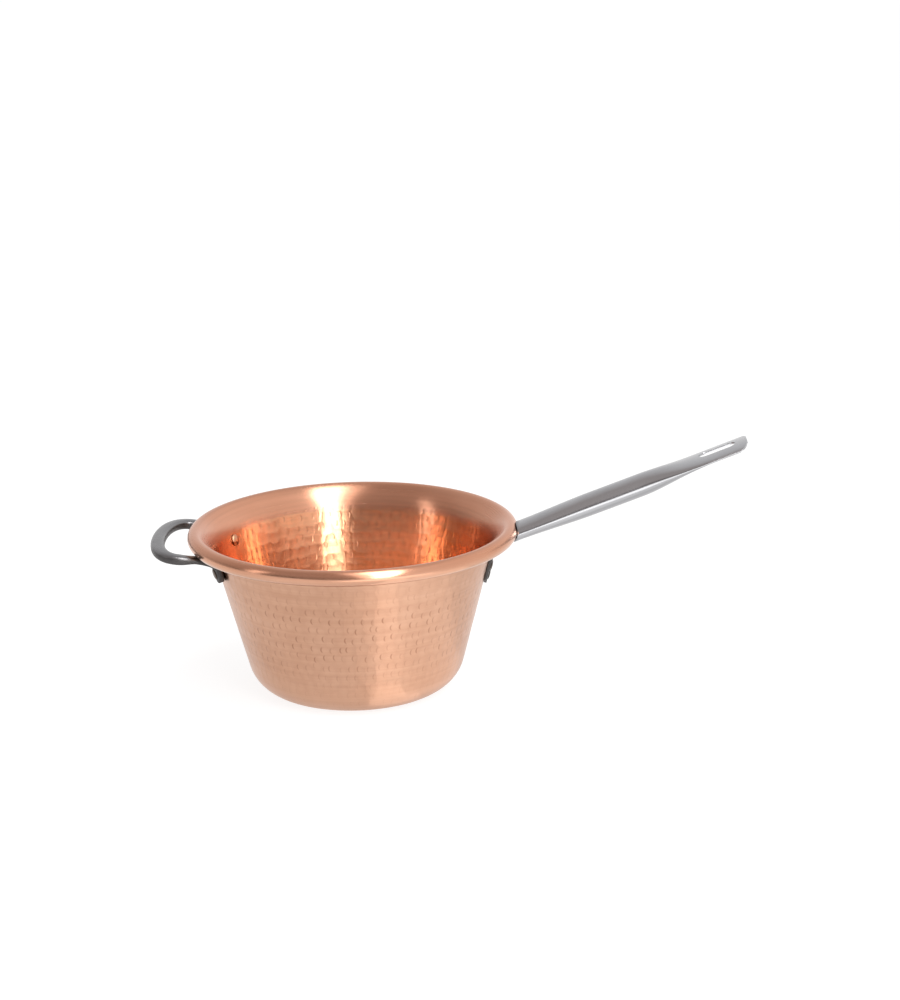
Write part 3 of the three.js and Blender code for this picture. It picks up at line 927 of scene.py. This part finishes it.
def crescent_nodes(nodes, column_place, row_place):
    """Strength of a short bowed mark in each cell of the rows, out of place and uneven."""
    row = nodes.math("FLOOR", row_place)
    shifted = nodes.math("MULTIPLY_ADD", nodes.math("MODULO", row, 2.0), ROW_SHIFT, column_place)
    column = nodes.math("FLOOR", shifted)
    cell = nodes.add("ShaderNodeCombineXYZ", {"X": column, "Y": row}).outputs[0]
    chance = nodes.add("ShaderNodeTexWhiteNoise", {"Vector": cell}, noise_dimensions="2D").outputs["Color"]
    random = nodes.add("ShaderNodeSeparateColor", {0: chance}).outputs
    aside = nodes.math("SUBTRACT", shifted, column)
    aside = nodes.math("SUBTRACT", aside, nodes.spread(random[0], WHOLE, CRESCENT_ASIDE))
    above = nodes.math("SUBTRACT", row_place, row)
    above = nodes.math("SUBTRACT", above, nodes.spread(random[1], WHOLE, CRESCENT_ABOVE))
    bow = nodes.product(above, above, CRESCENT_BOW)
    beside = nodes.math("ABSOLUTE", nodes.math("SUBTRACT", aside, bow))
    width_span = (CRESCENT_HALF_WIDTH, CRESCENT_HALF_WIDTH * FULL_WIDTH_SHARE)
    height_span = (CRESCENT_HALF_HEIGHT, CRESCENT_HALF_HEIGHT * FULL_HEIGHT_SHARE)
    narrow = nodes.spread(beside, width_span)
    short = nodes.spread(nodes.math("ABSOLUTE", above), height_span)
    return nodes.product(narrow, short, nodes.spread(random[2], CRESCENT_CHANCE))


def hammer_nodes(nodes, place, inside):
    """Depth of the hammer's hollows and strength of its crescents, counted round the wall from +X."""
    turned = nodes.split(nodes.scaled(place, HALF_TURN))
    height = turned["Z"]
    turn = nodes.math("ARCTAN2", turned["Y"], turned["X"])
    column_place = nodes.math("MULTIPLY", turn, MARK_COLUMNS / FULL_TURN)
    row_place = nodes.math("DIVIDE", height, MARK_ROW)
    grid = nodes.add("ShaderNodeCombineXYZ", {"X": column_place, "Y": row_place}).outputs[0]
    cells = {"Vector": grid, "Scale": 1.0, "Randomness": FACET_SCATTER}
    facet = nodes.add("ShaderNodeTexVoronoi", cells, voronoi_dimensions="2D").outputs["Distance"]
    below_end = nodes.spread(height, ROWS_END, FADING)
    hollow = nodes.product(facet, facet, nodes.spread(height, ROWS_START), below_end)
    lower = nodes.spread(height, LOWER_ROWS, LOWER_STRENGTH)
    upper = nodes.math("MAXIMUM", nodes.spread(height, UPPER_ROWS, UPPER_STRENGTH), inside)
    crescent = nodes.product(crescent_nodes(nodes, column_place, row_place), lower, upper, below_end)
    return hollow, crescent


# Copper: pairs of values are for outside and inside, or for dull and polished
COPPER_PALE = (0.62, 0.37, 0.255, 1.0)
COPPER_WARM = (0.57, 0.32, 0.21, 1.0)
# Painted shade with patina at the edges of the hammer's facets, and wear along faint lines round the pot
COPPER_EDGE_SHADE_AND_WEAR = (0.40, 0.20, 0.125, 1.0)
# Painted shade with tarnish in the hammer's crescents, darkest outside
COPPER_MARK_SHADE_AND_TARNISH = (0.27, 0.118, 0.066, 1.0)
# Deeper red on the rim as painted shade, and inside as painted light bounced between the copper walls
RIM_PAINTED_SHADE_PALE = (0.74, 0.365, 0.235, 1.0)
RIM_PAINTED_SHADE_WARM = (0.69, 0.32, 0.195, 1.0)
INSIDE_PAINTED_BOUNCE_PALE = (0.85, 0.43, 0.255, 1.0)
INSIDE_PAINTED_BOUNCE_WARM = (0.81, 0.38, 0.205, 1.0)
STROKE_STRETCH = (14.0, 14.0, 1300.0)
STROKE_WARMTH = 0.4
WARM_SPAN = (0.5, 0.95)
RIM_SPAN = (0.82, RIM_POLISH)
EDGE_SPAN = (0.02, 0.3)
EDGE_SHADE_AND_PATINA = (0.0, 0.12)
LINE_STRETCH = (4.0, 4.0, 420.0)
LINE_SPAN = (0.35, 0.65)
LINE_WEAR = (0.0, 0.16)
MARK_SHADE_AND_TARNISH = (0.62, 0.35)
COPPER_ROUGHNESS = (0.33, 0.17)
FLARE_ROUGHNESS = (0.0, 0.08)
COPPER_UNEVEN = (-0.04, 0.05)
BEATING = (1.2, 0.6)
STROKE_DEPTH = 0.00002
SPECK_DEPTH = 0.000006
COPPER_ANISOTROPY = 0.8


def copper_material():
    """Copper polished round the pot and warmer in slow patches; tinted deeper red inside as painted light
    bounced between the walls and on the rim as painted shade; darker from painted shade with tarnish in the
    hammer's crescents, and with patina at its facets' edges.
    """
    material, nodes = new_material("hammered_copper")
    place = nodes.place()
    polish = nodes.add("ShaderNodeAttribute", attribute_name="polish").outputs["Fac"]
    inside = nodes.add("ShaderNodeAttribute", attribute_name="inside").outputs["Fac"]
    hollow, crescent = hammer_nodes(nodes, place, inside)
    patches = nodes.noise(place, scale=16.0, detail=4.0, roughness=0.55)
    strokes = nodes.noise(nodes.scaled(place, STROKE_STRETCH), scale=1.0, detail=4.0, roughness=0.6)
    lines = nodes.noise(nodes.scaled(place, LINE_STRETCH), scale=1.0, detail=2.0, roughness=0.5)
    specks = nodes.noise(place, scale=900.0, detail=2.0, roughness=0.6)
    rim = nodes.spread(polish, RIM_SPAN)
    warm = nodes.spread(nodes.math("MULTIPLY_ADD", strokes, STROKE_WARMTH, patches), WARM_SPAN)
    outside_colour = nodes.colour_mix(warm, COPPER_PALE, COPPER_WARM)
    # Inside: painted bounce light as a deeper red; rim: painted shade as a deeper red
    inside_painted_colour = nodes.colour_mix(warm, INSIDE_PAINTED_BOUNCE_PALE, INSIDE_PAINTED_BOUNCE_WARM)
    rim_painted_shade_colour = nodes.colour_mix(warm, RIM_PAINTED_SHADE_PALE, RIM_PAINTED_SHADE_WARM)
    inside_painted_colour = nodes.colour_mix(rim, inside_painted_colour, rim_painted_shade_colour)
    colour = nodes.colour_mix(inside, outside_colour, inside_painted_colour)
    # Painted shade with patina where the facets meet, added to wear along faint lines
    edges = nodes.spread(hollow, EDGE_SPAN, EDGE_SHADE_AND_PATINA)
    shade_and_wear = nodes.math("ADD", edges, nodes.spread(lines, LINE_SPAN, LINE_WEAR))
    colour = nodes.colour_mix(shade_and_wear, colour, COPPER_EDGE_SHADE_AND_WEAR)
    # Painted shade with tarnish in the hammer's crescents, stronger outside than inside
    shade_and_tarnish = nodes.product(crescent, nodes.spread(inside, WHOLE, MARK_SHADE_AND_TARNISH))
    colour = nodes.colour_mix(shade_and_tarnish, colour, COPPER_MARK_SHADE_AND_TARNISH)
    satin = nodes.spread(polish, WHOLE, COPPER_ROUGHNESS)
    flare = nodes.spread(nodes.product(rim, inside), WHOLE, FLARE_ROUGHNESS)
    uneven = nodes.spread(nodes.math("ADD", strokes, patches), UNEVEN_SPAN, COPPER_UNEVEN)
    roughness = nodes.math("ADD", nodes.math("ADD", satin, flare), uneven)
    beaten = nodes.bump(nodes.product(hollow, nodes.spread(inside, WHOLE, BEATING)), HOLLOW_DEPTH)
    dented = nodes.bump(nodes.product(crescent, -1.0), CRESCENT_DEPTH, beaten)
    brushed = nodes.bump(strokes, STROKE_DEPTH, dented)
    normal = nodes.bump(specks, SPECK_DEPTH, brushed)
    tangent = nodes.add("ShaderNodeTangent", direction_type="RADIAL", axis="Z").outputs[0]
    nodes.metal(colour, roughness, normal, anisotropic=COPPER_ANISOTROPY, tangent=tangent)
    return material


RIVET_PALE = (0.70, 0.35, 0.21, 1.0)
RIVET_DARK = (0.56, 0.26, 0.15, 1.0)
RIVET_SCALE = (0.10, 0.075, 0.06, 1.0)
RIVET_SCALE_STEP = 0.003
RIVET_DARK_SPAN = (0.35, 0.7)
RIVET_ROUGH_SPAN = (0.3, 0.7)
RIVET_ROUGHNESS = (0.28, 0.42)
RIVET_FLATS = 520.0
RIVET_FLAT_DEPTH = 0.00016


def rivet_material():
    """Darker copper with the small flats of the hammer, and forge scale on the ends outside the pot."""
    material, nodes = new_material("rivet_copper")
    place = nodes.place()
    patches = nodes.noise(place, scale=260.0, detail=3.0, roughness=0.6)
    colour = nodes.colour_mix(nodes.spread(patches, RIVET_DARK_SPAN), RIVET_PALE, RIVET_DARK)
    leaning = nodes.product(nodes.split(place)["Z"], SLOPE)
    out_of_wall = nodes.math("SUBTRACT", nodes.from_axis(place), leaning)
    outside = nodes.spread(out_of_wall, (FOOT_RADIUS * MM, FOOT_RADIUS * MM + RIVET_SCALE_STEP))
    colour = nodes.colour_mix(outside, colour, RIVET_SCALE)
    roughness = nodes.spread(patches, RIVET_ROUGH_SPAN, RIVET_ROUGHNESS)
    flats = nodes.add("ShaderNodeTexVoronoi", {"Vector": place, "Scale": RIVET_FLATS}, feature="SMOOTH_F1")
    nodes.metal(colour, roughness, nodes.bump(flats.outputs["Distance"], RIVET_FLAT_DEPTH))
    return material


# Steel of the two handles
HANDLE_FINISH = {
    "pale": (0.54, 0.54, 0.55, 1.0),
    "grey": (0.46, 0.46, 0.475, 1.0),
    "roughness": (0.12, 0.22),
    "stroke_stretch": (150.0, 3.0, 1.0),
    "stroke_depth": 0.000008,
    "painted_side_shade": False,
}
LOOP_FINISH = {
    "pale": (0.29, 0.285, 0.29, 1.0),
    "grey": (0.20, 0.195, 0.20, 1.0),
    "roughness": (0.22, 0.36),
    "stroke_stretch": (14.0, 60.0, 1.0),
    "stroke_depth": 0.00002,
    "painted_side_shade": True,
}
STROKE_SHADE = 0.5
SHADE_SPAN = (0.45, 1.05)
# Painted shade on the long handle's underside, which turns greyer where it faces down
STEEL_PAINTED_UNDER_SHADE = (0.36, 0.36, 0.37, 1.0)
PAINTED_UNDER_SHADE_FACING = (-0.35, 0.15)
# Painted shade on the sides of the loop: darker, rougher and dull where the normal turns away from up
TOP_FACING = (0.1, 0.75)
SIDE_PAINTED_SHADE = (0.8, 0.0)
# Painted shade where the handles come close to the pot under the rim: darker, rougher and less metallic
PAINTED_SHADE_DARK = (0.035, 0.03, 0.028, 1.0)
PAINTED_SHADE_REACH = (0.126, 0.1315)
PAINTED_SHADE_RAGGED = 0.006
SMEAR_MEAN = 0.5
PAINTED_SHADE_ROUGHNESS = 0.2
BARE_TO_PAINTED_SHADE = (0.6, 1.0)
PIT_SHARE = 0.6


def brushed_steel(name, finish):
    """Steel with polishing strokes along the piece, faint smears and small pits.

    Painted shade, dark, rough and dull, lies next to the pot under the rim, and also on the sides where the
    finish asks for painted side shade; without that, the underside gets a painted shade.
    """
    material, nodes = new_material(name)
    coordinates = nodes.add("ShaderNodeTexCoord")
    place = coordinates.outputs["Object"]
    facing = nodes.split(coordinates.outputs["Normal"])["Z"]
    stretched = nodes.scaled(coordinates.outputs["UV"], finish["stroke_stretch"])
    strokes = nodes.noise(stretched, scale=1.0, detail=4.0, roughness=0.65)
    smears = nodes.noise(place, scale=38.0, detail=4.0, roughness=0.6)
    pits = nodes.noise(place, scale=700.0, detail=2.0, roughness=0.5)
    shade = nodes.spread(nodes.math("MULTIPLY_ADD", strokes, STROKE_SHADE, smears), SHADE_SPAN)
    colour = nodes.colour_mix(shade, finish["pale"], finish["grey"])
    bare_roughness = nodes.spread(nodes.math("ADD", strokes, smears), UNEVEN_SPAN, finish["roughness"])
    # Painted shade next to the pot under the rim, with a ragged edge
    ragged = nodes.math("SUBTRACT", smears, SMEAR_MEAN)
    uneven = nodes.math("MULTIPLY_ADD", ragged, PAINTED_SHADE_RAGGED, nodes.from_axis(place))
    scale = nodes.spread(uneven, PAINTED_SHADE_REACH, FADING)
    # Painted shade on the sides, where the finish asks for it
    if finish["painted_side_shade"]:
        scale = nodes.math("MAXIMUM", scale, nodes.spread(facing, TOP_FACING, SIDE_PAINTED_SHADE))
    else:
        # Painted shade: the underside is made greyer where it faces down
        colour = nodes.colour_mix(nodes.spread(facing, PAINTED_UNDER_SHADE_FACING, FADING), colour, STEEL_PAINTED_UNDER_SHADE)
    colour = nodes.colour_mix(scale, colour, PAINTED_SHADE_DARK)
    roughness = nodes.math("MULTIPLY_ADD", scale, PAINTED_SHADE_ROUGHNESS, bare_roughness)
    brushed = nodes.bump(strokes, finish["stroke_depth"])
    normal = nodes.bump(pits, finish["stroke_depth"] * PIT_SHARE, brushed)
    nodes.metal(colour, roughness, normal, metallic=nodes.spread(scale, BARE_TO_PAINTED_SHADE, FADING))
    return material


WIRE_PALE = (0.50, 0.50, 0.51, 1.0)
WIRE_GREY = (0.34, 0.33, 0.33, 1.0)
WIRE_SPAN = (0.3, 0.7)
WIRE_ROUGHNESS = (0.38, 0.55)
WIRE_DEPTH = 0.00002


def wire_material():
    """Drawn wire, dull, in two greys."""
    material, nodes = new_material("drawn_wire")
    place = nodes.place()
    patches = nodes.noise(place, scale=60.0, detail=4.0, roughness=0.6)
    colour = nodes.colour_mix(nodes.spread(patches, WIRE_SPAN), WIRE_PALE, WIRE_GREY)
    roughness = nodes.spread(patches, WIRE_SPAN, WIRE_ROUGHNESS)
    nodes.metal(colour, roughness, nodes.bump(nodes.noise(place, scale=800.0), WIRE_DEPTH))
    return material


def dress(piece, material):
    piece.data.materials.clear()
    piece.data.materials.append(material)


# Studio: white floor, lamps, cards on the floor, surroundings and camera
FLOOR_SIZE = 16.0
FLOOR_WHITE = (0.86, 0.86, 0.86, 1.0)
FLOOR_GLOW = 0.84
FLOOR_SHADE = (0.27, 0.27, 0.27, 1.0)
LAMP_TARGET = Vector((0.0, 0.0, 0.11))
LAMPS = [
    {"name": "tall_softbox", "width": 0.32, "power": 14.7,
     "low": (0.59, -1.495, 0.2), "high": (0.17, 0.155, 1.68)},
    {"name": "softbox_edge", "width": 0.2, "power": 1.6,
     "low": (0.35, -1.55, 0.2), "high": (-0.07, 0.1, 1.68)},
    {"name": "left_strip", "width": 0.3, "power": 1.4,
     "low": (-1.56, -0.69, 0.2), "high": (-1.31, -0.58, 1.2)},
]

# Cards just above the floor: the narrow and the right one overlap, and rounding decides which shows there
CARD_HEIGHT = 0.002
CARDS = [
    {"name": "narrow_card", "azimuth": -62.0, "from_axis": 0.175, "size": (0.05, 0.2), "power": 0.014},
    {"name": "right_card", "azimuth": -33.0, "from_axis": 0.19, "size": (0.16, 0.22), "power": 0.031},
    {"name": "front_card", "azimuth": -66.5, "from_axis": 0.676, "size": (0.45, 0.7), "power": 0.99},
]

# Colour of the room by degrees round the pot, with 0 in front of the pot and more to the right
ROUND_ABOUT = [
    (-180.0, (0.95, 0.95, 0.95, 1.0)),
    (-125.0, (0.6, 0.6, 0.6, 1.0)),
    (-95.0, (0.28, 0.27, 0.27, 1.0)),
    (-50.0, (0.12, 0.11, 0.11, 1.0)),
    (0.0, (0.2, 0.18, 0.18, 1.0)),
    (14.0, (0.38, 0.36, 0.35, 1.0)),
    (40.0, (1.1, 1.1, 1.1, 1.0)),
    (110.0, (1.1, 1.1, 1.1, 1.0)),
    (180.0, (0.95, 0.95, 0.95, 1.0)),
]
CEILING_FRONT = (0.46, 0.42, 0.41, 1.0)
CEILING_BACK = (0.78, 0.78, 0.79, 1.0)
CEILING_RIGHT = (0.95, 0.95, 0.95, 1.0)
CEILING_BACK_SPAN = (0.0, 0.9)
CEILING_RIGHT_SPAN = (0.12, 0.5)
CEILING_SPAN = (0.12, 0.45)

CAMERA_PLACE = Vector((0.13245, -1.8941, 0.68845))
CAMERA_FORWARD = Vector((-0.0281, 0.9618, -0.2725)).normalized()
CAMERA_ROLL = math.radians(1.245)
LENS = 90.35
SENSOR = 36.0


def background_rays(nodes):
    """1 for the rays that see the background: from the camera, off metal and through glass."""
    path = nodes.add("ShaderNodeLightPath")
    seen = nodes.math("MAXIMUM", path.outputs["Is Camera Ray"], path.outputs["Is Glossy Ray"])
    return nodes.math("MAXIMUM", seen, path.outputs["Is Transmission Ray"])


def make_floor():
    """A white floor that shows as white all over, and still keeps the pot's shadow."""
    half = FLOOR_SIZE / 2
    corners = [(-half, -half, 0.0), (half, -half, 0.0), (half, half, 0.0), (-half, half, 0.0)]
    mesh = bpy.data.meshes.new("studio_floor")
    mesh.from_pydata(corners, [], [(0, 1, 2, 3)])
    floor = add_object("studio_floor", mesh)
    material, nodes = new_material("white_floor")
    paint = nodes.add("ShaderNodeBsdfDiffuse", {"Color": FLOOR_WHITE}).outputs[0]
    glow = nodes.add("ShaderNodeEmission", {"Strength": FLOOR_GLOW}).outputs[0]
    shade = nodes.add("ShaderNodeBsdfDiffuse", {"Color": FLOOR_SHADE}).outputs[0]
    white = nodes.add("ShaderNodeAddShader", {0: glow, 1: shade}).outputs[0]
    shader = nodes.add("ShaderNodeMixShader", {0: background_rays(nodes), 1: paint, 2: white}).outputs[0]
    nodes.add("ShaderNodeOutputMaterial", {"Surface": shader})
    mesh.materials.append(material)


def add_light(name, size, power):
    """A rectangular lamp that the camera doesn't see itself."""
    light = bpy.data.lights.new(name, "AREA")
    light.shape = "RECTANGLE"
    light.size, light.size_y = size
    light.energy = power
    lamp = add_object(name, light)
    lamp.visible_camera = False
    return lamp


def make_lamp(name, low, high, width, power):
    """A long soft lamp between two ends, turned to the pot."""
    low, high = Vector(low), Vector(high)
    middle = (low + high) / 2
    back = (middle - LAMP_TARGET).normalized()
    along = high - low
    along = (along - back * along.dot(back)).normalized()
    turn = Matrix((along.cross(back), along, back)).transposed().to_4x4()
    lamp = add_light(name, (width, (high - low).length), power)
    lamp.matrix_world = Matrix.Translation(middle) @ turn


def make_card(name, azimuth, from_axis, size, power):
    """A bright card on the floor in front of the pot, seen in the wall, the rim and the handle."""
    turn = math.radians(azimuth)
    card = add_light(name, size, power)
    card.location = (from_axis * math.cos(turn), from_axis * math.sin(turn), CARD_HEIGHT)
    card.rotation_euler = (math.pi, 0.0, turn + QUARTER)


def make_surroundings():
    """A room that is dark in front of the pot and pale elsewhere, with a ceiling of its own."""
    world = bpy.data.worlds.new("studio")
    bpy.context.scene.world = world
    world.use_nodes = True
    nodes = Nodes(world.node_tree)
    split = nodes.split(nodes.add("ShaderNodeTexCoord").outputs["Generated"])
    angle = nodes.math("ARCTAN2", split["X"], nodes.product(split["Y"], -1.0))
    ramp_node = nodes.add("ShaderNodeValToRGB", {"Fac": nodes.spread(angle, (-math.pi, math.pi))})
    ramp = ramp_node.color_ramp
    while len(ramp.elements) < len(ROUND_ABOUT):
        ramp.elements.new(1.0)
    first_degrees = ROUND_ABOUT[0][0]
    last_degrees = ROUND_ABOUT[-1][0]
    for element, (degrees, colour) in zip(ramp.elements, ROUND_ABOUT):
        element.position = (degrees - first_degrees) / (last_degrees - first_degrees)
        element.color = colour
    behind = nodes.spread(split["Y"], CEILING_BACK_SPAN)
    ceiling = nodes.colour_mix(behind, CEILING_FRONT, CEILING_BACK)
    to_right = nodes.spread(split["X"], CEILING_RIGHT_SPAN)
    ceiling = nodes.colour_mix(to_right, ceiling, CEILING_RIGHT)
    high = nodes.spread(split["Z"], CEILING_SPAN)
    room = nodes.colour_mix(high, ramp_node.outputs["Color"], ceiling)
    shader = nodes.add("ShaderNodeBackground", {"Color": room, "Strength": 1.0}).outputs[0]
    nodes.add("ShaderNodeOutputWorld", {"Surface": shader})


def make_camera():
    data = bpy.data.cameras.new("photo_camera")
    data.lens = LENS
    data.sensor_fit = "VERTICAL"
    data.sensor_height = SENSOR
    level = CAMERA_FORWARD.cross(Vector(UPWARDS)).normalized()
    upright = level.cross(CAMERA_FORWARD)
    right = level * math.cos(CAMERA_ROLL) - upright * math.sin(CAMERA_ROLL)
    up = level * math.sin(CAMERA_ROLL) + upright * math.cos(CAMERA_ROLL)
    turn = Matrix((right, up, -CAMERA_FORWARD)).transposed().to_4x4()
    camera = add_object("photo_camera", data)
    camera.matrix_world = Matrix.Translation(CAMERA_PLACE) @ turn
    bpy.context.scene.camera = camera


dress(make_pot(), copper_material())
dress(make_long_handle(), brushed_steel("polished_steel", HANDLE_FINISH))
dress(make_loop(), brushed_steel("forged_steel", LOOP_FINISH))
rivet_copper = rivet_material()
for rivet in make_rivets():
    dress(rivet, rivet_copper)
dress(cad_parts["rim_wire"], wire_material())
make_floor()
for lamp in LAMPS:
    make_lamp(**lamp)
for card in CARDS:
    make_card(**card)
make_surroundings()
make_camera()
bpy.context.scene.view_settings.view_transform = "Standard"

bpy.context.view_layer.update()
